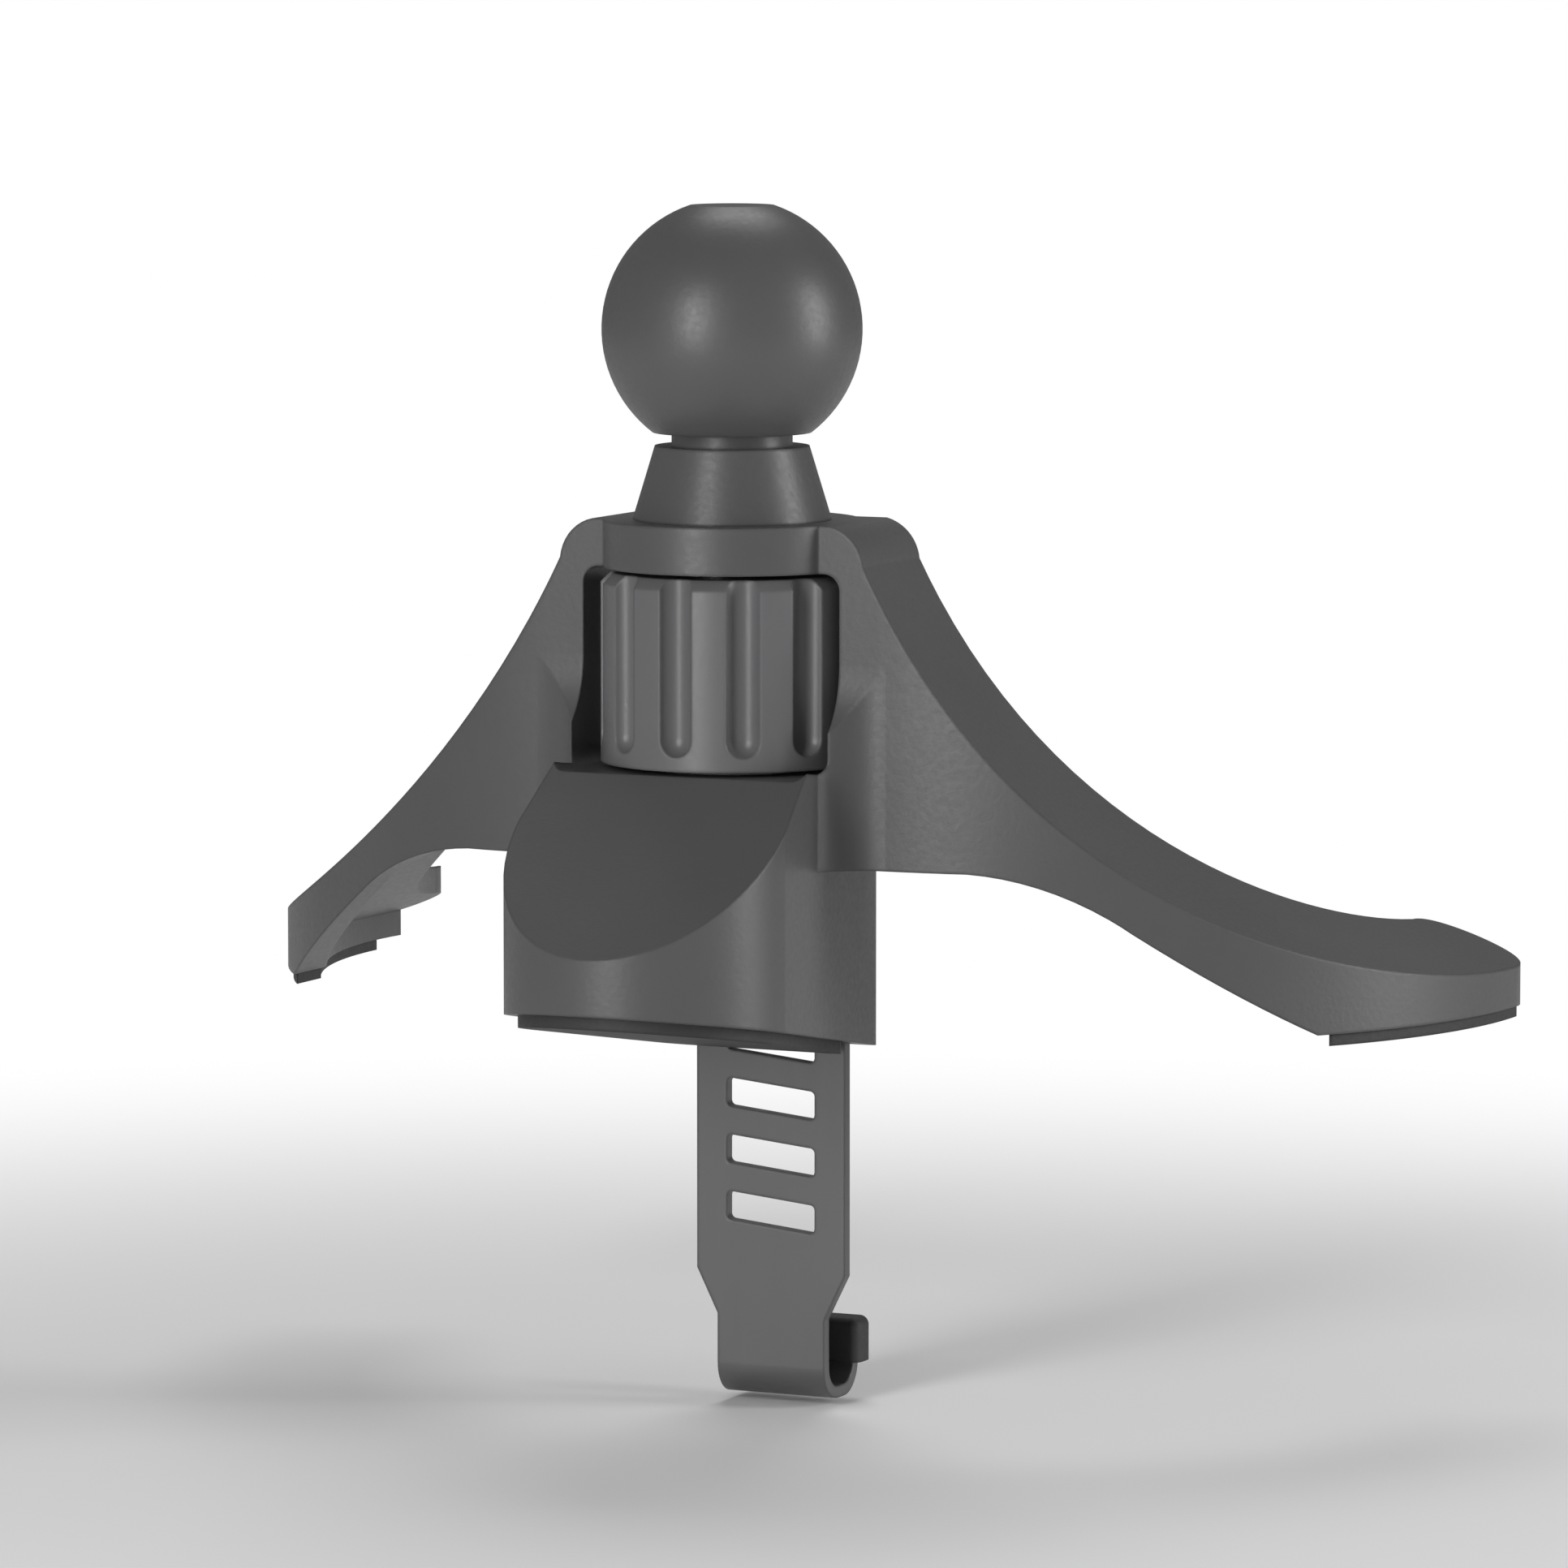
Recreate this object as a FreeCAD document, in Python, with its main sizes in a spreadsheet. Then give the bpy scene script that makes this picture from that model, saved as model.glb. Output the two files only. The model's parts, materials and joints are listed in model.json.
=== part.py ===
import FreeCAD, Part
import math
import os
import re
from FreeCAD import Vector

# Car air vent mount with a 17 mm ball head, a thumb wheel and a worm-driven metal hook.
# Z points up through the ball, X runs along the wings and Y points to the back.
# Heights are written from the housing's top face and every piece is then lowered,
# so that the origin of the finished model is the centre of the ball.

SIZES = [
    ("ball_radius", 8.5),
    ("ball_height", 12.4),
    ("ball_top_flat_radius", 2.75),
    ("ball_base_flat_radius", 5.2),
    ("neck_radius", 3.95),
    ("cone_height", 4.8),
    ("cone_top_radius", 5.05),
    ("cone_base_radius", 6.5),
    ("spigot_radius", 3.0),
    ("wall", 3.1),
    ("fit_gap", 0.1),
    ("running_gap", 0.3),
    ("tower_front", 3.3),
    ("tower_back", 5.5),
    ("tower_half_width", 10.9),
    ("tower_corner", 2.6),
    ("boss_radius", 8.4),
    ("wing_root", 12.0),
    ("wing_sweep_radius", 32.0),
    ("wing_back_root", 9.0),
    ("wing_back_radius", 28.0),
    ("wing_tip_margin", 1.0),
    ("wing_mid_x", 22.5),
    ("wing_mid_drop", 18.1),
    ("wing_tip_drop", 30.6),
    ("wing_foot_drop", 33.0),
    ("wing_foot_length", 6.5),
    ("arch_drop", 22.2),
    ("arch_flat", 18.0),
    ("arch_knee_x", 28.0),
    ("arch_knee_drop", 26.0),
    ("wing_skin", 1.7),
    ("wing_front_wall", 2.6),
    ("wing_core", 11.8),
    ("leg_radius", 9.5),
    ("leg_reach", 12.2),
    ("leg_back", 8.0),
    ("leg_back_half_width", 7.6),
    ("leg_back_corner", 2.5),
    ("leg_root_fillet", 4.0),
    ("leg_front_drop", 30.2),
    ("leg_slope_deg", 9.6),
    ("ramp_wheel_drop", 16.1),
    ("ramp_slope_deg", 38.7),
    ("ramp_fillet", 6.0),
    ("wheel_radius", 8.6),
    ("wheel_height", 12.7),
    ("wheel_grooves", 12),
    ("groove_radius", 1.15),
    ("groove_depth", 0.95),
    ("wheel_rim", 0.9),
    ("wheel_chamfer", 0.7),
    ("window_half_width", 9.2),
    ("window_corner", 1.1),
    ("worm_pitch", 3.8),
    ("worm_core_radius", 4.6),
    ("worm_crest_radius", 6.5),
    ("worm_tooth", 1.1),
    ("worm_turns", 3.0),
    ("worm_journal_radius", 2.0),
    ("drive_flats", 6.0),
    ("drive_height", 5.0),
    ("journal_gap", 0.05),
    ("cap_thickness", 1.4),
    ("cap_radius", 7.2),
    ("strip_front", 5.9),
    ("strip_thickness", 0.8),
    ("strip_width", 10.8),
    ("strip_neck_width", 7.8),
    ("strip_top_drop", 25.4),
    ("strip_bottom_drop", 59.0),
    ("strip_shoulder_drop", 50.5),
    ("strip_taper", 3.0),
    ("slot_width", 6.4),
    ("slot_height", 1.9),
    ("slot_count", 6),
    ("hook_depth", 4.6),
    ("hook_bend", 1.4),
    ("hook_rise", 4.4),
    ("tip_wall", 0.7),
    ("tip_height", 3.0),
    ("pad_thickness", 1.3),
    ("pad_inset", 0.9),
    ("pad_recess", 0.5),
    ("screw_radius", 1.5),
    ("screw_head_radius", 2.7),
    ("screw_head_height", 1.5),
    ("screw_length", 7.0),
    ("screw_tip_gap", 0.4),
    ("recess_length", 2.8),
    ("recess_width", 0.6),
    ("recess_depth", 0.9),
    ("washer_radius", 3.8),
    ("washer_thickness", 0.6),
]

doc = FreeCAD.newDocument("vent_mount")
sheet = doc.addObject("Spreadsheet::Sheet", "sizes")
for row, (alias, value) in enumerate(SIZES, start=1):
    sheet.set("A%d" % row, alias)
    sheet.set("B%d" % row, str(value))
    sheet.setAlias("B%d" % row, alias)
doc.recompute()


def size(alias):
    return float(sheet.get(alias))


def along(angle_deg):
    angle = math.radians(angle_deg)
    return math.cos(angle), math.sin(angle)


def mirrored(shape):
    """The same shape on the other side of X = 0."""
    return shape.mirror(Vector(0, 0, 0), Vector(1, 0, 0))


def mirrored_face(edges):
    """A face symmetric about X = 0, from the edges of its right half."""
    both = edges + [mirrored(edge) for edge in edges]
    wire = Part.Wire(Part.__sortEdges__(both))
    return Part.Face(wire)


def line(start, end):
    return Part.LineSegment(start, end).toShape()


def arc(start, middle, end):
    return Part.Arc(start, middle, end).toShape()


def front_view(x, drop):
    return Vector(x, -60, -drop)


def plan_view(x, y):
    return Vector(x, y, -60)


def add_piece(label, shape):
    piece = doc.addObject("Part::Feature", label)
    piece.Label = label
    piece.Shape = shape
    piece.Placement = FreeCAD.Placement(Vector(0, 0, -size("ball_height")), FreeCAD.Rotation())
    return piece


WORM_BOTTOM = "(wall + wheel_height + running_gap + worm_pitch * (worm_turns + 0.55))"
ALIASES = {alias for alias, value in SIZES}


def bound(text):
    """An expression written in the sheet's words, as the document reads it."""
    return re.sub(r"[a-z_]+", lambda word: "sizes." + word[0] if word[0] in ALIASES else word[0], text)


def place(item, z, x="0", y="0"):
    for axis, text in (("x", x), ("y", y), ("z", z)):
        item.setExpression("Placement.Base." + axis, bound(text))
    return item


def rod(name, radius, top_drop, bottom_drop, x="0", y="0"):
    """An upright cylinder between two drops, its sizes bound to the sheet."""
    item = doc.addObject("Part::Cylinder", name)
    item.setExpression("Radius", bound(radius))
    item.setExpression("Height", bound("(%s) - (%s)" % (bottom_drop, top_drop)))
    return place(item, "-(%s)" % bottom_drop, x, y)


def cone(name, low_radius, high_radius, height, z):
    item = doc.addObject("Part::Cone", name)
    item.setExpression("Radius1", bound(low_radius))
    item.setExpression("Radius2", bound(high_radius))
    item.setExpression("Height", bound(height))
    return place(item, z)


def block(name, length, width, height, x, y, z):
    item = doc.addObject("Part::Box", name)
    item.setExpression("Length", bound(length))
    item.setExpression("Width", bound(width))
    item.setExpression("Height", bound(height))
    return place(item, z, x, y)


def joined(name, items):
    item = doc.addObject("Part::MultiFuse", name)
    item.Shapes = items
    item.Refine = True
    return item


def cut_from(name, base, tool):
    item = doc.addObject("Part::Cut", name)
    item.Base = base
    item.Tool = tool
    return item


def bound_piece(label, item):
    """A finished sub-part, lowered so that the ball's centre is the origin."""
    item.Label = label
    return place(item, "-ball_height")


def point_on_circle(centre_x, centre_y, radius, angle_deg):
    cosine, sine = along(angle_deg)
    return centre_x + radius * cosine, centre_y + radius * sine


def leg_bottom_drop(y):
    """Drop of the front leg's sloping underside at a depth y."""
    front = -(size("leg_reach") + size("leg_radius"))
    return size("leg_front_drop") + (y - front) * math.tan(math.radians(size("leg_slope_deg")))


def slab_below_leg(lift=0.0):
    """Everything below the leg's underside, raised by lift."""
    low, high = -45.0, 45.0
    points = [
        Vector(-60, low, -leg_bottom_drop(low) + lift),
        Vector(-60, high, -leg_bottom_drop(high) + lift),
        Vector(-60, high, -90),
        Vector(-60, low, -90),
    ]
    return Part.Face(Part.makePolygon(points + points[:1])).extrude(Vector(120, 0, 0))


def leg_outline(inset=0.0, back=None):
    """Plan of the front leg: a round nose whose sides taper to the back."""
    nose = size("leg_radius") - inset
    centre = -size("leg_reach")
    back_y = size("leg_back") if back is None else back
    side = size("leg_back_half_width") - inset
    corner = min(size("leg_back_corner"), side / 2)
    cosine, sine = along(45)
    edges = [
        arc(plan_view(0, centre - nose), plan_view(nose * cosine, centre - nose * sine), plan_view(nose, centre)),
        line(plan_view(nose, centre), plan_view(side, back_y - corner)),
        arc(
            plan_view(side, back_y - corner),
            plan_view(side - corner + corner * cosine, back_y - corner + corner * sine),
            plan_view(side - corner, back_y),
        ),
        line(plan_view(side - corner, back_y), plan_view(0, back_y)),
    ]
    return mirrored_face([edge for edge in edges if edge.Length > 1e-6])


def standing(face, top_drop, bottom_drop):
    """A plan face drawn at the low plane, pulled between two drops."""
    moved = face.copy()
    moved.translate(Vector(0, 0, 60 - bottom_drop))
    return moved.extrude(Vector(0, 0, bottom_drop - top_drop))


def wing_end_x():
    """Where the front view ends, just past the tip of the swept plan."""
    return size("wing_root") + size("wing_sweep_radius") + size("wing_tip_margin")


def foot_inner_x():
    """Inner edge of the foot, measured back from the tip."""
    return size("wing_root") + size("wing_sweep_radius") - size("wing_foot_length")


def arch_edges():
    """Underside of the wing in the front view, from the foot back to the middle."""
    flat = front_view(size("arch_flat"), size("arch_drop"))
    knee = front_view(size("arch_knee_x"), size("arch_knee_drop"))
    share = 0.5
    bend = 0.9
    middle = front_view(
        size("arch_flat") + (size("arch_knee_x") - size("arch_flat")) * share,
        size("arch_drop") + (size("arch_knee_drop") - size("arch_drop")) * share * share * bend + 0.15,
    )
    return [
        line(front_view(foot_inner_x(), size("wing_foot_drop")), knee),
        arc(knee, middle, flat),
        line(flat, front_view(0, size("arch_drop"))),
    ]


def wing_top_arc():
    start = front_view(size("tower_half_width"), size("tower_corner"))
    middle = front_view(size("wing_mid_x"), size("wing_mid_drop"))
    end = front_view(wing_end_x(), size("wing_tip_drop"))
    return start, middle, end


def make_wings():
    """Tower and both wings: the front view and the plan view, pulled through each other."""
    start, middle, end = wing_top_arc()
    top = size("tower_half_width") - size("tower_corner") * 0.9
    corner_x = size("tower_half_width") - size("tower_corner") * 0.32
    corner_drop = size("tower_corner") * 0.32
    outline = [
        line(front_view(0, 0), front_view(top, 0)),
        arc(front_view(top, 0), front_view(corner_x, corner_drop), start),
        arc(start, middle, end),
        line(end, front_view(wing_end_x(), size("wing_foot_drop"))),
        line(front_view(wing_end_x(), size("wing_foot_drop")),
             front_view(foot_inner_x(), size("wing_foot_drop"))),
    ] + arch_edges()
    elevation = mirrored_face(outline).extrude(Vector(0, 120, 0))
    return elevation.common(standing(wing_plan(), -5, 50))


def wing_plan():
    front = -size("tower_front")
    root = size("wing_root")
    sweep = size("wing_sweep_radius")
    centre_y = front + sweep
    back_root = size("wing_back_root")
    back_radius = size("wing_back_radius")
    back_centre_y = size("tower_back") + back_radius
    end_y = centre_y
    mid_x, mid_y = point_on_circle(root, centre_y, sweep, -45)
    back_end_x = back_root + math.sqrt(back_radius ** 2 - (back_centre_y - end_y) ** 2)
    back_mid_x, back_mid_y = point_on_circle(back_root, back_centre_y, back_radius, -50)
    tip_x = root + sweep
    edges = [
        line(plan_view(0, front), plan_view(root, front)),
        arc(plan_view(root, front), plan_view(mid_x, mid_y), plan_view(tip_x, end_y)),
        arc(plan_view(tip_x, end_y), plan_view((tip_x + back_end_x) / 2, end_y + (tip_x - back_end_x) / 2),
            plan_view(back_end_x, end_y)),
        arc(plan_view(back_end_x, end_y), plan_view(back_mid_x, back_mid_y),
            plan_view(back_root, size("tower_back"))),
        line(plan_view(back_root, size("tower_back")), plan_view(0, size("tower_back"))),
    ]
    return mirrored_face(edges)


def make_wing_hollow():
    """Space under one wing's skin, behind its front wall."""
    start, middle, end = wing_top_arc()
    circle = arc(start, middle, end).Curve
    centre, radius = circle.Center, circle.Radius + size("wing_skin")
    core = size("wing_core")
    tip = wing_end_x() + 4
    near = front_view(core, -centre.z + math.sqrt(radius ** 2 - (core - centre.x) ** 2))
    far = front_view(tip, -centre.z + math.sqrt(radius ** 2 - (tip - centre.x) ** 2))
    half = (core + tip) / 2
    mid = front_view(half, -centre.z + math.sqrt(radius ** 2 - (half - centre.x) ** 2))
    low = 70
    wire = Part.Wire([
        arc(near, mid, far),
        line(far, front_view(tip, low)),
        line(front_view(tip, low), front_view(core, low)),
        line(front_view(core, low), near),
    ])
    below_skin = Part.Face(wire).extrude(Vector(0, 120, 0))
    inner = size("wing_sweep_radius") - size("wing_front_wall")
    centre_y = size("wing_sweep_radius") - size("tower_front")
    behind_wall = Part.makeCylinder(inner, 80, Vector(size("wing_root"), centre_y, -70))
    return below_skin.common(behind_wall)


def make_ramp_cutter():
    """Space above the front leg: a ramp that rounds up into the tower's front face."""
    front = -size("tower_front")
    slope = math.radians(size("ramp_slope_deg"))
    wheel_front = -size("wheel_radius")
    meet_drop = size("ramp_wheel_drop") - (front - wheel_front) * math.tan(slope)
    tangent = size("ramp_fillet") * math.tan((math.pi / 2 - slope) / 2)
    reach = 40.0
    top = Vector(-60, front, -(meet_drop - tangent))
    foot = Vector(-60, front - tangent * math.cos(slope), -(meet_drop + tangent * math.sin(slope)))
    centre = Vector(-60, front - size("ramp_fillet"), top.z)
    way = (top - centre) + (foot - centre)
    way.normalize()
    middle = centre + way * size("ramp_fillet")
    far = Vector(-60, front - reach * math.cos(slope), -(meet_drop + reach * math.sin(slope)))
    high = 10
    wire = Part.Wire([
        arc(top, middle, foot),
        line(foot, far),
        line(far, Vector(-60, far.y, high)),
        line(Vector(-60, far.y, high), Vector(-60, front, high)),
        line(Vector(-60, front, high), top),
    ])
    return Part.Face(wire).extrude(Vector(120, 0, 0))


def make_leg():
    """Front leg with the rounded inner corners that join it to the tower."""
    column = standing(leg_outline(), 5, 45)
    front = -size("tower_front")
    fillet = size("leg_root_fillet")
    nose, side = size("leg_radius"), size("leg_back_half_width")
    share = (front + size("leg_reach")) / (size("leg_back") - size("leg_back_corner") + size("leg_reach"))
    root = nose + (side - nose) * share
    cosine, sine = along(45)
    for sign in (-1, 1):
        wire = Part.Wire([
            line(plan_view(sign * (root + fillet), front), plan_view(0, front)),
            line(plan_view(0, front), plan_view(0, front - fillet)),
            line(plan_view(0, front - fillet), plan_view(sign * root, front - fillet)),
            arc(
                plan_view(sign * root, front - fillet),
                plan_view(sign * (root + fillet * (1 - cosine)), front - fillet * (1 - sine)),
                plan_view(sign * (root + fillet), front),
            ),
        ])
        column = column.fuse(standing(Part.Face(wire), 5, size("arch_drop")))
    return column.cut(make_ramp_cutter()).cut(slab_below_leg())


def make_window():
    """Opening through the tower that shows the wheel at the front and the back."""
    half = size("window_half_width")
    corner = size("window_corner")
    top, bottom = size("wall"), size("wall") + size("wheel_height") + size("running_gap")
    box = Part.makeBox(2 * half, 40, bottom - top, Vector(-half, -20, -bottom))
    upright = [e for e in box.Edges if abs(e.Vertexes[0].Y - e.Vertexes[1].Y) > 1]
    return box.makeFillet(corner, upright)


def wheel_top_drop():
    return size("wall") + size("running_gap")


def wheel_bottom_drop():
    return size("wall") + size("wheel_height")


def worm_top_drop():
    return wheel_bottom_drop() + size("running_gap")


def worm_bottom_drop():
    return worm_top_drop() + size("worm_pitch") * (size("worm_turns") + 0.55)


def upright_cylinder(radius, top_drop, bottom_drop, x=0, y=0):
    return Part.makeCylinder(radius, bottom_drop - top_drop, Vector(x, y, -bottom_drop))


def strip_channel():
    gap = size("running_gap")
    half = size("strip_width") / 2 + gap
    front = size("strip_front") - gap
    depth = size("strip_thickness") + 2 * gap
    bottom = 60
    top = worm_top_drop()
    return Part.makeBox(2 * half, depth, bottom - top, Vector(-half, front, -bottom))


def make_housing():
    body = make_wings()
    hollow = make_wing_hollow()
    body = body.cut(hollow).cut(mirrored(hollow))
    body = body.fuse(make_leg())
    boss_bottom = size("wall")
    body = body.fuse(upright_cylinder(size("boss_radius"), 0, boss_bottom))
    body = body.cut(make_window())
    body = body.cut(upright_cylinder(size("spigot_radius") + size("fit_gap"), -1, size("wall") + 1))
    bore = size("worm_crest_radius") + size("running_gap")
    body = body.cut(upright_cylinder(bore, wheel_bottom_drop(), worm_bottom_drop() + size("running_gap")))
    cap_top = worm_bottom_drop() + size("running_gap")
    body = body.cut(upright_cylinder(size("cap_radius") + size("fit_gap"), cap_top, 60))
    body = body.cut(strip_channel())
    return body.cut(pad_block(0.0)).removeSplitter()


def pad_block(gap):
    """The rubber pad under the front leg, which lies along the sloping underside."""
    back = size("strip_front") - size("running_gap") - 1.2
    column = standing(leg_outline(size("pad_inset") + gap, back), 0, 50)
    recess = size("pad_recess")
    thin = recess - size("pad_thickness")
    return column.common(slab_below_leg(recess)).cut(slab_below_leg(thin))


def make_ball_head():
    """Turned ball, neck, cone and spigot, with a blind hole for the screw."""
    ball = doc.addObject("Part::Sphere", "ball")
    ball.setExpression("Radius", bound("ball_radius"))
    ball.setExpression("Angle1", bound("-acos(ball_base_flat_radius / ball_radius)"))
    ball.setExpression("Angle2", bound("acos(ball_top_flat_radius / ball_radius)"))
    place(ball, "ball_height")
    base_z = "ball_height - sqrt(ball_radius ^ 2 - ball_base_flat_radius ^ 2)"
    neck = rod("ball_neck", "neck_radius", "-(%s)" % base_z, "-cone_height")
    foot = cone("ball_cone", "cone_base_radius", "cone_top_radius", "cone_height", "0")
    spigot = rod("ball_spigot", "spigot_radius", "0", "wall")
    hole = rod("ball_screw_hole", "screw_radius", "wall - screw_length", "wall + fit_gap")
    return cut_from("ball_head", joined("ball_turned", [ball, neck, foot, spigot]), hole)


def washer_drop():
    return size("wall") + size("washer_thickness")


def make_head_washer():
    disc = rod("washer_disc", "washer_radius", "wall", "wall + washer_thickness")
    hole = rod("washer_hole", "screw_radius + fit_gap", "wall - fit_gap", "wall + washer_thickness + fit_gap")
    return cut_from("head_washer", disc, hole)


def make_head_screw():
    """Shank and pan head with a cross recess."""
    seat = "wall + washer_thickness"
    end = seat + " + screw_head_height"
    shank = rod("screw_shank", "screw_radius", "wall - screw_length + screw_tip_gap", seat)
    head = rod("screw_head", "screw_head_radius", seat, end)
    arm = block("recess_arm", "recess_length", "recess_width", "recess_depth",
                "-recess_length / 2", "-recess_width / 2", "-(%s)" % end)
    cross = block("recess_cross", "recess_width", "recess_length", "recess_depth",
                  "-recess_width / 2", "-recess_length / 2", "-(%s)" % end)
    return cut_from("head_screw", joined("screw_turned", [shank, head]), joined("recess", [arm, cross]))


def drive_prism(gap, top_drop, bottom_drop):
    """Hexagonal drive between the worm and the wheel."""
    circum = (size("drive_flats") / 2 + gap) / math.cos(math.pi / 6)
    corners = []
    for i in range(6):
        cosine, sine = along(60 * i)
        corners.append(Vector(circum * cosine, circum * sine, -bottom_drop))
    return Part.Face(Part.makePolygon(corners + corners[:1])).extrude(Vector(0, 0, bottom_drop - top_drop))


def make_thumb_wheel():
    """Grooved wheel with a pocket for the screw's head and a hexagonal socket for the worm."""
    top, bottom = "(wall + running_gap)", "(wall + wheel_height)"
    drum = rod("wheel_drum", "wheel_radius", top + " + wheel_chamfer", bottom)
    rim = cone("wheel_rim_cone", "wheel_radius", "wheel_radius - wheel_chamfer", "wheel_chamfer",
               "-(%s + wheel_chamfer)" % top)
    offset = "(wheel_radius - groove_depth + groove_radius)"
    groove_end = "(%s - wheel_rim - groove_radius)" % bottom
    tools = []
    for i in range(int(size("wheel_grooves"))):
        x = "%s * cos(360deg * %d / wheel_grooves)" % (offset, i)
        y = "%s * sin(360deg * %d / wheel_grooves)" % (offset, i)
        tools.append(rod("groove_%d" % i, "groove_radius", top + " - 1", groove_end, x, y))
        end = doc.addObject("Part::Sphere", "groove_end_%d" % i)
        end.setExpression("Radius", bound("groove_radius"))
        tools.append(place(end, "-" + groove_end, x, y))
    pocket_bottom = "wall + washer_thickness + screw_head_height + running_gap"
    tools.append(rod("screw_pocket", "washer_radius + running_gap", top + " - 1", pocket_bottom))
    socket = doc.addObject("Part::Prism", "drive_socket")
    socket.Polygon = 6
    socket.setExpression("Circumradius", bound("(drive_flats / 2 + fit_gap) / cos(30deg)"))
    socket.setExpression("Height", bound("drive_height + fit_gap + 1"))
    tools.append(place(socket, "-(%s + 1)" % bottom))
    return cut_from("thumb_wheel", joined("wheel_blank", [drum, rim]), joined("wheel_cuts", tools))


def make_worm():
    """Worm that drives the hook: a core, one coarse thread, a hexagonal drive and a journal."""
    top, bottom = worm_top_drop(), worm_bottom_drop()
    pitch, core_radius = size("worm_pitch"), size("worm_core_radius")
    crest = size("worm_crest_radius")
    core = upright_cylinder(core_radius, top, bottom)
    root_half = size("worm_tooth") * 0.8
    crest_half = size("worm_tooth") * 0.45
    start_z = -bottom + pitch * 0.3
    helix = Part.makeHelix(pitch, pitch * size("worm_turns"), core_radius)
    helix.translate(Vector(0, 0, start_z))
    sunk = core_radius - 0.4
    corners = [
        Vector(sunk, 0, start_z - root_half),
        Vector(crest, 0, start_z - crest_half),
        Vector(crest, 0, start_z + crest_half),
        Vector(sunk, 0, start_z + root_half),
    ]
    profile = Part.makePolygon(corners + corners[:1])
    thread = Part.Wire(helix.Edges).makePipeShell([profile], True, True)
    worm = core.fuse(thread)
    worm = worm.fuse(drive_prism(0, wheel_bottom_drop() - size("drive_height"), top))
    journal_end = bottom + size("running_gap") + size("cap_thickness")
    worm = worm.fuse(upright_cylinder(size("worm_journal_radius"), bottom, journal_end))
    return worm.removeSplitter()


def make_thrust_cap():
    """Disc under the worm, flat at the back where the strip passes."""
    top = "(%s + running_gap)" % WORM_BOTTOM
    bottom = "(%s + cap_thickness)" % top
    disc = rod("cap_disc", "cap_radius", top, bottom)
    hole = rod("cap_hole", "worm_journal_radius + journal_gap", top + " - 1", bottom + " + 1")
    flat = block("cap_flat", "4 * cap_radius", "4 * cap_radius", "4 * cap_radius",
                 "-2 * cap_radius", "strip_front - running_gap", "-(%s + 2 * cap_radius)" % bottom)
    return cut_from("thrust_cap", disc, joined("cap_cuts", [hole, flat]))


def thread_drop_at_back():
    """Drop of the worm's thread where it crosses the strip, at the lowest turn."""
    return worm_bottom_drop() - size("worm_pitch") * (0.3 + 0.25)


def make_hook_strip():
    front = size("strip_front")
    thick = size("strip_thickness")
    half, neck = size("strip_width") / 2, size("strip_neck_width") / 2
    top, bottom = size("strip_top_drop"), size("strip_bottom_drop")
    shoulder = size("strip_shoulder_drop")
    bend = size("hook_bend")
    points = [
        (-half, top), (half, top), (half, shoulder), (neck, shoulder + size("strip_taper")),
        (neck, bottom + 5), (-neck, bottom + 5), (-neck, shoulder + size("strip_taper")), (-half, shoulder),
    ]
    outline = Part.makePolygon([Vector(x, -5, -drop) for x, drop in points + points[:1]])
    outline_solid = Part.Face(outline).extrude(Vector(0, 40, 0))
    back = front + size("hook_depth")
    outer = bend + thick
    section = hook_section(front, thick, top - 1, bottom, back, outer, bottom - size("hook_rise"))
    strip = outline_solid.common(section.extrude(Vector(2 * half, 0, 0)))
    slope = size("worm_pitch") / (2 * math.pi * front)
    rise = slope * size("slot_width") / 2
    wide, tall = size("slot_width") / 2, size("slot_height") / 2
    for i in range(int(size("slot_count"))):
        middle = thread_drop_at_back() + size("worm_pitch") * i
        corners = [
            (-wide, middle + tall - rise), (wide, middle + tall + rise),
            (wide, middle - tall + rise), (-wide, middle - tall - rise),
        ]
        ring = Part.makePolygon([Vector(x, front - 1, -drop) for x, drop in corners + corners[:1]])
        slot = Part.Face(ring).extrude(Vector(0, thick + 2, 0))
        across = [e for e in slot.Edges if abs(e.Vertexes[0].Y - e.Vertexes[1].Y) > 1]
        strip = strip.cut(slot.makeFillet(0.35, across))
    return strip


def hook_section(front, thick, top, bottom, back, outer, rise):
    """Side view of the strip: down, round the bend and up again at the back."""
    half = size("strip_width") / 2
    inner = outer - thick

    def side(y, drop):
        return Vector(-half, y, -drop)

    cosine, sine = along(45)

    def bend_arc(centre_y, radius, sign):
        centre_drop = bottom - outer
        return (
            side(centre_y + sign * radius, centre_drop),
            side(centre_y + sign * radius * cosine, centre_drop + radius * sine),
            side(centre_y, centre_drop + radius),
        )

    near, far = front + outer, back - outer + thick
    down_a, down_b, down_c = bend_arc(near, outer, -1)
    up_a, up_b, up_c = bend_arc(far, outer, 1)
    in_a, in_b, in_c = bend_arc(near, inner, -1)
    in_d, in_e, in_f = bend_arc(far, inner, 1)
    edges = [
        line(side(front, top), down_a),
        arc(down_a, down_b, down_c),
        line(down_c, up_c),
        arc(up_c, up_b, up_a),
        line(up_a, side(far + outer, rise)),
        line(side(far + outer, rise), side(far + inner, rise)),
        line(side(far + inner, rise), in_d),
        arc(in_d, in_e, in_f),
        line(in_f, in_c),
        arc(in_c, in_b, in_a),
        line(in_a, side(front + thick, top)),
        line(side(front + thick, top), side(front, top)),
    ]
    return Part.Face(Part.Wire([edge for edge in edges if edge.Length > 1e-6]))


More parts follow.
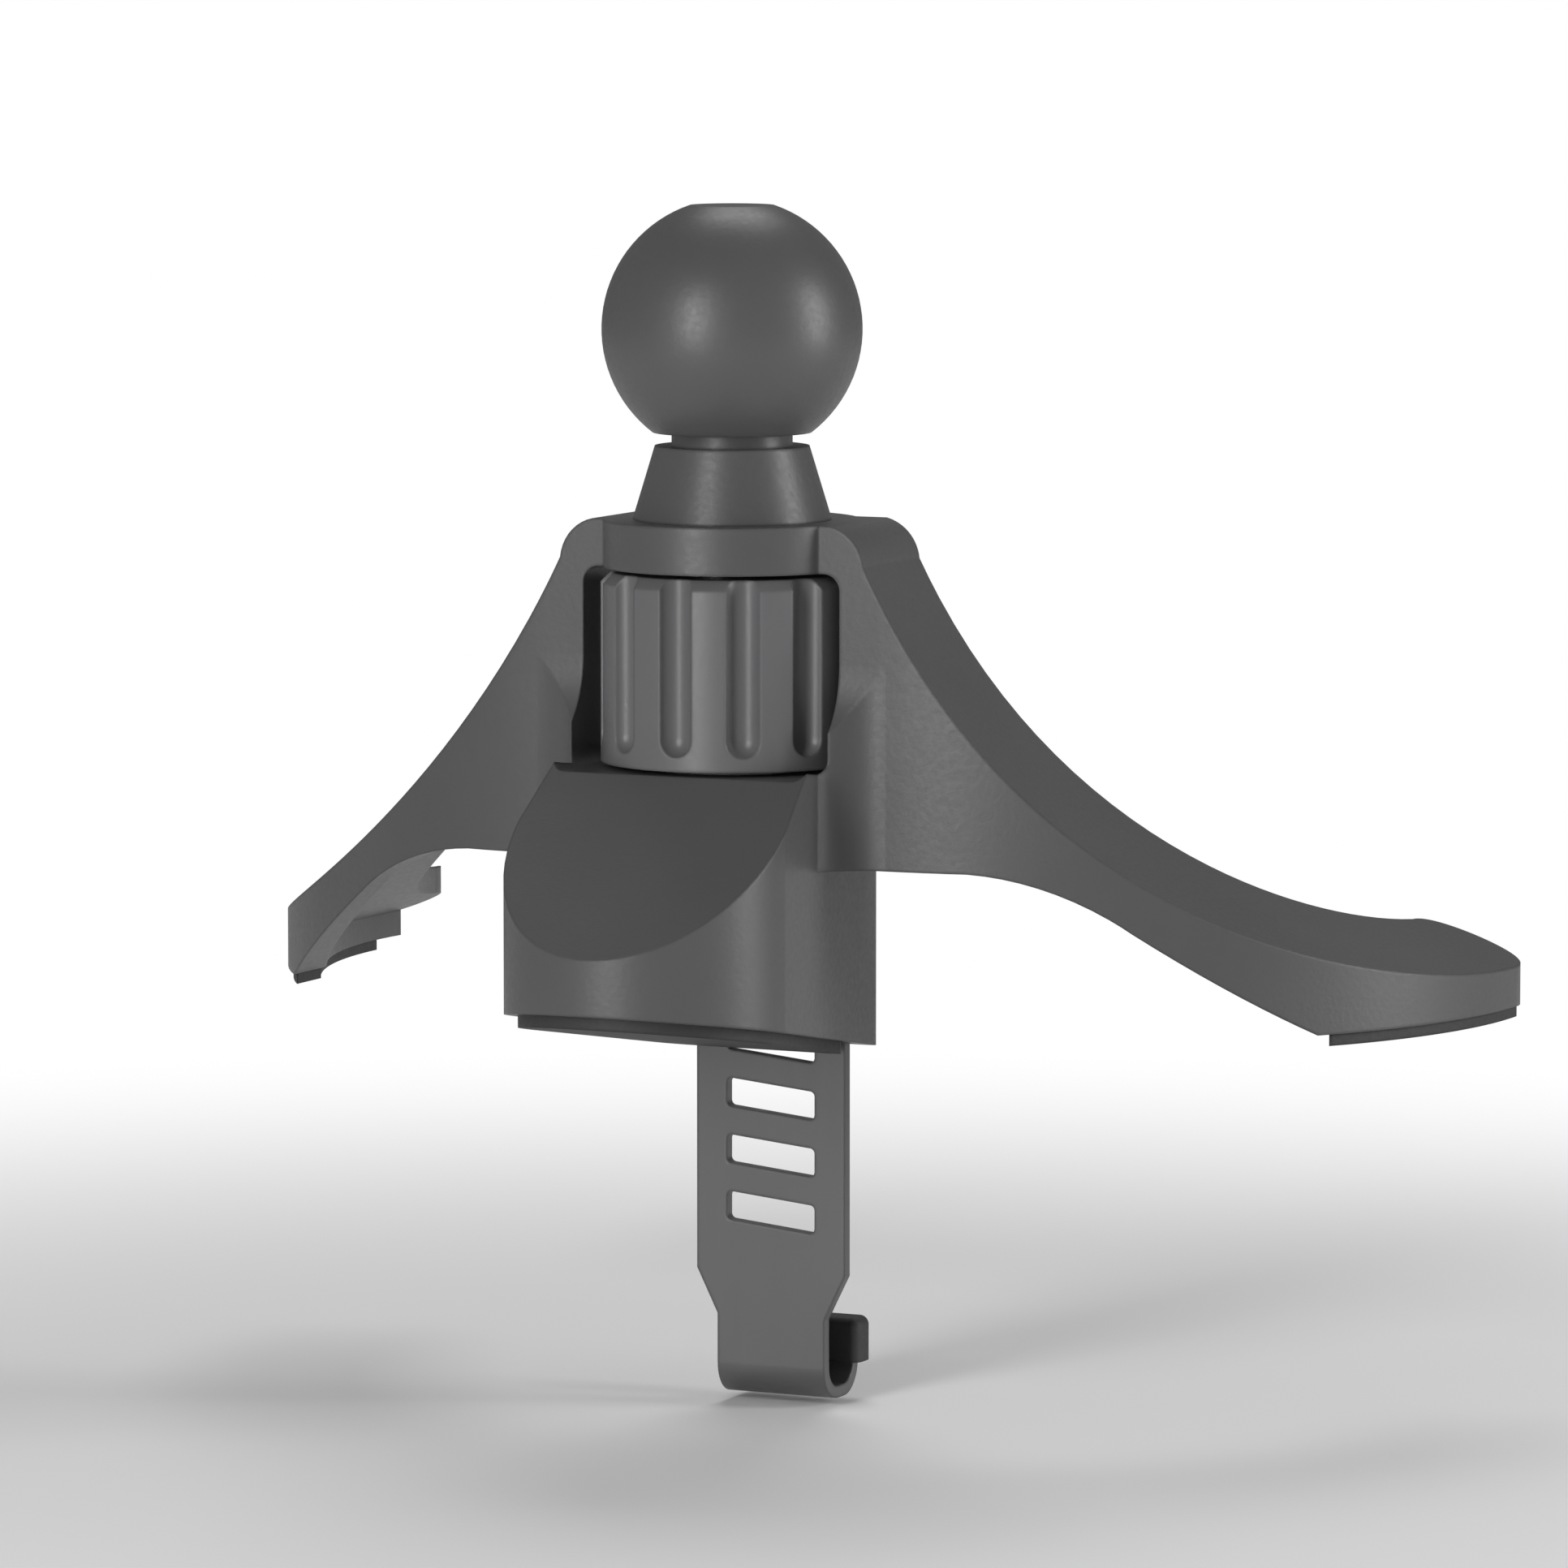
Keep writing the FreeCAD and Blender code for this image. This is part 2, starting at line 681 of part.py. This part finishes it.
def make_hook_tip():
    """Rubber cap on the free end of the hook."""
    thick, wall = size("strip_thickness"), size("tip_wall")
    back = size("strip_front") + size("hook_depth")
    neck = size("strip_neck_width") / 2
    top = size("strip_bottom_drop") - size("hook_rise")
    low = top + size("tip_height") - wall
    box = Part.makeBox(2 * (neck + wall), thick + 2 * wall, low - top + wall,
                       Vector(-neck - wall, back - wall, -low))
    outer_edges = [e for e in box.Edges if e.BoundBox.ZMax > -top + wall - 1e-6]
    box = box.makeFillet(wall * 0.9, outer_edges)
    pocket = Part.makeBox(2 * neck, thick, low - top, Vector(-neck, back, -low))
    return box.cut(pocket)


def make_wing_pad(sign):
    """Rubber pad under the foot of one wing, inside the edge of the foot."""
    inset = size("pad_inset") * 0.4
    ring = Part.makeCylinder(size("wing_sweep_radius") - inset, 80,
                             Vector(size("wing_root"), size("wing_sweep_radius") - size("tower_front"), -70))
    inner = Part.makeCylinder(size("wing_sweep_radius") - size("wing_front_wall") + inset, 80,
                              Vector(size("wing_root"), size("wing_sweep_radius") - size("tower_front"), -70))
    bottom = size("wing_foot_drop") + size("pad_thickness") - size("pad_recess")
    end_y = size("wing_sweep_radius") - size("tower_front") + 1.0
    start_x = foot_inner_x() + inset
    slab = Part.makeBox(30, end_y + 20, bottom - size("wing_foot_drop"), Vector(start_x, -20, -bottom))
    pad = slab.common(ring.cut(inner))
    return mirrored(pad) if sign < 0 else pad


pieces = [
    add_piece("housing", make_housing()),
    bound_piece("ball_head", make_ball_head()),
    bound_piece("head_washer", make_head_washer()),
    bound_piece("head_screw", make_head_screw()),
    bound_piece("thumb_wheel", make_thumb_wheel()),
    add_piece("worm", make_worm()),
    bound_piece("thrust_cap", make_thrust_cap()),
    add_piece("hook_strip", make_hook_strip()),
    add_piece("hook_tip", make_hook_tip()),
    add_piece("front_pad", pad_block(0.0)),
    add_piece("wing_pad_left", make_wing_pad(-1)),
    add_piece("wing_pad_right", make_wing_pad(1)),
]
doc.recompute()

os.makedirs("parts", exist_ok=True)
for piece in pieces:
    shape = piece.Shape
    faults = [word for word in ("Invalid", "Error") if word in piece.State]
    if faults or shape.isNull() or not shape.isValid() or shape.Volume <= 0:
        raise RuntimeError("%s is not a sound solid: %s" % (piece.Label, faults))
    print(piece.Label, len(shape.Solids), round(shape.Volume, 2))
for piece in pieces:
    piece.Shape.exportStep("parts/%s.step" % piece.Label)
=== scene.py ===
import json
import math

import bpy
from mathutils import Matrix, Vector


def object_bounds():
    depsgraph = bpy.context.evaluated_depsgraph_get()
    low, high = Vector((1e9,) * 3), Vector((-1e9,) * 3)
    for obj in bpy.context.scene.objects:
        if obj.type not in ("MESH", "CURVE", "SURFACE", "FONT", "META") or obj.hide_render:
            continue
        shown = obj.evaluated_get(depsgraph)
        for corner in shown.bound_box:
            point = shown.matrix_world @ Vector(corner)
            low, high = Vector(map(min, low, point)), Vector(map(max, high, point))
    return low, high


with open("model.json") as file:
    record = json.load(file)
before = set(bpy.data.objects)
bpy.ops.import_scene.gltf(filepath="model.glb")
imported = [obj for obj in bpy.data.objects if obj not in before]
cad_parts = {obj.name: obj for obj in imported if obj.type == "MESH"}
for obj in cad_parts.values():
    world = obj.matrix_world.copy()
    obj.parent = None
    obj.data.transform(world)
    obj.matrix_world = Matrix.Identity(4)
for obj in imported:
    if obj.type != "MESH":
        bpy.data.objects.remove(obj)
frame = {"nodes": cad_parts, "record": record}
cad_low, cad_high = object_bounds()

# The photograph's frame: its width, the ball's width in it, and where the ball's centre lies.
PHOTO_WIDTH_PX = 1932
BALL_WIDTH_PX = 322
BALL_CENTRE_PX = (902, 405)
BALL_DIAMETER = 0.017
VIEW_AZIMUTH = math.radians(25)
VIEW_ELEVATION = math.radians(6)
CAMERA_DISTANCE = 0.6
SENSOR_WIDTH = 36.0

FLOOR_GAP = 0.0005
FLOOR_SIZE = 6.0
FLOOR_GREY = 0.95
WORLD_FILL = 0.16

# The floor turns to plain white between these distances from the model.
FLOOR_FADE_START = 0.08
FLOOR_FADE_END = 0.2

# Each lamp: its direction from the model as azimuth and elevation, its distance, width, height and power.
LAMPS = {
    "key_lamp": (-8, 8, 0.6, 0.14, 0.55, 3.0),
    "side_lamp": (105, 8, 0.6, 0.16, 0.5, 2.6),
    "top_lamp": (200, 60, 0.7, 0.35, 0.35, 1.2),
}

EDGE_ROUNDING = 0.0003
EDGE_SAMPLES = 4

# Finishes: the noise's low and high, how coarse the colour drift is, and how relief and gloss vary.
NOISE_LOW = 0.3
NOISE_HIGH = 0.7
DRIFT_SCALE = 60.0
DRIFT_DETAIL = 3.0
GRAIN_DETAIL = 5.0
RELIEF_STRENGTH = 0.35
SMOOTHER = 0.04
ROUGHER = 0.05
FLOOR_ROUGHNESS = 0.9
CAMERA_CLIP_START = 0.01


def socket(node, name):
    return node.inputs[name]


def new_material(name, metallic=0.0):
    """A node material with its shader and links ready."""
    material = bpy.data.materials.new(name)
    material.use_nodes = True
    nodes, links = material.node_tree.nodes, material.node_tree.links
    shader = nodes["Principled BSDF"]
    socket(shader, "Metallic").default_value = metallic
    return material, nodes, links, shader


def noise(nodes, links, scale, detail, stretch=(1, 1, 1)):
    """Noise in the model's own coordinates, stretched along an axis where the finish has a grain."""
    place = nodes.new("ShaderNodeTexCoord")
    mapping = nodes.new("ShaderNodeMapping")
    socket(mapping, "Scale").default_value = stretch
    links.new(place.outputs["Object"], socket(mapping, "Vector"))
    texture = nodes.new("ShaderNodeTexNoise")
    socket(texture, "Scale").default_value = scale
    socket(texture, "Detail").default_value = detail
    links.new(mapping.outputs["Vector"], socket(texture, "Vector"))
    return texture.outputs["Fac"]


def vary(nodes, links, factor, target, low, high):
    """A number that follows the noise between two values."""
    spread = nodes.new("ShaderNodeMapRange")
    socket(spread, "From Min").default_value = NOISE_LOW
    socket(spread, "From Max").default_value = NOISE_HIGH
    socket(spread, "To Min").default_value = low
    socket(spread, "To Max").default_value = high
    links.new(factor, socket(spread, "Value"))
    links.new(spread.outputs["Result"], target)


def tint(nodes, links, factor, target, colour, spread):
    """The base colour, a little darker and lighter by the noise."""
    ramp = nodes.new("ShaderNodeValToRGB")
    darker = [part * (1 - spread) for part in colour]
    lighter = [part * (1 + spread) for part in colour]
    ramp.color_ramp.elements[0].position = NOISE_LOW
    ramp.color_ramp.elements[0].color = (*darker, 1)
    ramp.color_ramp.elements[1].position = NOISE_HIGH
    ramp.color_ramp.elements[1].color = (*lighter, 1)
    links.new(factor, socket(ramp, "Fac"))
    links.new(ramp.outputs["Color"], target)


def relief(nodes, links, height, shader, depth):
    """Fine relief over edges that are softened as moulding or stamping leaves them."""
    edge = nodes.new("ShaderNodeBevel")
    edge.samples = EDGE_SAMPLES
    socket(edge, "Radius").default_value = EDGE_ROUNDING
    bump = nodes.new("ShaderNodeBump")
    socket(bump, "Distance").default_value = depth
    socket(bump, "Strength").default_value = RELIEF_STRENGTH
    links.new(height, socket(bump, "Height"))
    links.new(edge.outputs["Normal"], socket(bump, "Normal"))
    links.new(bump.outputs["Normal"], socket(shader, "Normal"))


def surface(name, colour, rough, grain, depth, metallic=0.0, stretch=(1, 1, 1), spread=0.06):
    """A finish with its own colour drift, uneven gloss and fine relief."""
    material, nodes, links, shader = new_material(name, metallic)
    drift = noise(nodes, links, DRIFT_SCALE, DRIFT_DETAIL)
    fine = noise(nodes, links, grain, GRAIN_DETAIL, stretch)
    tint(nodes, links, drift, socket(shader, "Base Color"), colour, spread)
    vary(nodes, links, fine, socket(shader, "Roughness"), rough - SMOOTHER, rough + ROUGHER)
    relief(nodes, links, fine, shader, depth)
    return material


def moulded_plastic():
    return surface("moulded_plastic", (0.085, 0.085, 0.088), 0.4, 2600.0, 0.00004)


def wheel_plastic():
    return surface("wheel_plastic", (0.13, 0.13, 0.134), 0.36, 2600.0, 0.00003)


def nylon():
    return surface("nylon", (0.6, 0.6, 0.57), 0.45, 1800.0, 0.00002)


def coated_metal():
    return surface("coated_metal", (0.13, 0.13, 0.13), 0.4, 900.0, 0.00002, 0.55, (1, 1, 0.06), 0.04)


def plated_steel():
    return surface("plated_steel", (0.6, 0.6, 0.62), 0.3, 1200.0, 0.00001, 1.0)


def soft_rubber():
    return surface("soft_rubber", (0.03, 0.03, 0.03), 0.62, 3200.0, 0.00005)


def dress_nodes():
    """Gives each node the finish of its own slot in the record."""
    finishes = {
        "moulding": moulded_plastic(),
        "wheel": wheel_plastic(),
        "worm": nylon(),
        "fastener": plated_steel(),
        "hook_metal": coated_metal(),
        "rubber": soft_rubber(),
    }
    for entry in frame["record"]["subparts"]:
        piece = frame["nodes"][entry["node"]]
        finish = finishes[entry["material_slot"]]
        if not piece.material_slots:
            piece.data.materials.append(finish)
        for place in piece.material_slots:
            place.material = finish


def view_axes(azimuth, elevation):
    """Unit vectors to the camera, to its right and upwards."""
    back = Vector((
        math.sin(azimuth) * math.cos(elevation),
        -math.cos(azimuth) * math.cos(elevation),
        math.sin(elevation),
    ))
    right = Vector((math.cos(azimuth), math.sin(azimuth), 0))
    return back, right, back.cross(right)


def make_camera():
    """The photograph's view, with the ball where it lies in the picture."""
    back, right, up = view_axes(VIEW_AZIMUTH, VIEW_ELEVATION)
    metres_per_px = BALL_DIAMETER / BALL_WIDTH_PX
    middle = PHOTO_WIDTH_PX / 2
    aim = right * ((middle - BALL_CENTRE_PX[0]) * metres_per_px)
    aim -= up * ((middle - BALL_CENTRE_PX[1]) * metres_per_px)
    data = bpy.data.cameras.new("camera")
    data.sensor_width = SENSOR_WIDTH
    data.lens = SENSOR_WIDTH * CAMERA_DISTANCE / (PHOTO_WIDTH_PX * metres_per_px)
    data.clip_start = CAMERA_CLIP_START
    camera = bpy.data.objects.new("camera", data)
    camera.location = aim + back * CAMERA_DISTANCE
    camera.rotation_mode = "QUATERNION"
    camera.rotation_quaternion = (-back).to_track_quat("-Z", "Y")
    bpy.context.scene.collection.objects.link(camera)
    bpy.context.scene.camera = camera


def make_lamps():
    centre = (cad_low + cad_high) / 2
    for name, (azimuth, elevation, distance, width, height, power) in LAMPS.items():
        data = bpy.data.lights.new(name, "AREA")
        data.shape = "RECTANGLE"
        data.size = width
        data.size_y = height
        data.energy = power
        lamp = bpy.data.objects.new(name, data)
        back = view_axes(math.radians(azimuth), math.radians(elevation))[0]
        lamp.location = centre + back * distance
        lamp.rotation_mode = "QUATERNION"
        lamp.rotation_quaternion = (-back).to_track_quat("-Z", "Y")
        bpy.context.scene.collection.objects.link(lamp)


def make_world():
    """White to the camera, and a soft fill on the surfaces."""
    world = bpy.data.worlds.new("studio")
    bpy.context.scene.world = world
    world.use_nodes = True
    nodes, links = world.node_tree.nodes, world.node_tree.links
    background = nodes["Background"]
    socket(background, "Color").default_value = (1, 1, 1, 1)
    path = nodes.new("ShaderNodeLightPath")
    seen = nodes.new("ShaderNodeMapRange")
    socket(seen, "To Min").default_value = WORLD_FILL
    socket(seen, "To Max").default_value = 1.0
    links.new(path.outputs["Is Camera Ray"], socket(seen, "Value"))
    links.new(seen.outputs["Result"], socket(background, "Strength"))


def fade_floor(nodes, links, shader):
    """The card keeps the shadow near the model and is white to the camera further off."""
    place = nodes.new("ShaderNodeTexCoord")
    distance = nodes.new("ShaderNodeVectorMath")
    distance.operation = "LENGTH"
    links.new(place.outputs["Object"], distance.inputs[0])
    fade = nodes.new("ShaderNodeMapRange")
    fade.interpolation_type = "SMOOTHSTEP"
    socket(fade, "From Min").default_value = FLOOR_FADE_START
    socket(fade, "From Max").default_value = FLOOR_FADE_END
    links.new(distance.outputs["Value"], socket(fade, "Value"))
    path = nodes.new("ShaderNodeLightPath")
    seen = nodes.new("ShaderNodeMath")
    seen.operation = "MULTIPLY"
    links.new(fade.outputs["Result"], seen.inputs[0])
    links.new(path.outputs["Is Camera Ray"], seen.inputs[1])
    white = nodes.new("ShaderNodeEmission")
    mix = nodes.new("ShaderNodeMixShader")
    links.new(seen.outputs["Value"], socket(mix, "Fac"))
    links.new(shader.outputs["BSDF"], mix.inputs[1])
    links.new(white.outputs["Emission"], mix.inputs[2])
    links.new(mix.outputs["Shader"], socket(nodes["Material Output"], "Surface"))


def make_floor():
    height = cad_low.z - FLOOR_GAP
    half = FLOOR_SIZE / 2
    corners = [(-half, -half, height), (half, -half, height), (half, half, height), (-half, half, height)]
    mesh = bpy.data.meshes.new("floor")
    mesh.from_pydata(corners, [], [(0, 1, 2, 3)])
    floor = bpy.data.objects.new("floor", mesh)
    bpy.context.scene.collection.objects.link(floor)
    material, nodes, links, shader = new_material("floor_card")
    socket(shader, "Base Color").default_value = (FLOOR_GREY, FLOOR_GREY, FLOOR_GREY, 1)
    socket(shader, "Roughness").default_value = FLOOR_ROUGHNESS
    fade_floor(nodes, links, shader)
    mesh.materials.append(material)


make_camera()
make_lamps()
make_world()
make_floor()
dress_nodes()
bpy.context.scene.view_settings.view_transform = "Standard"
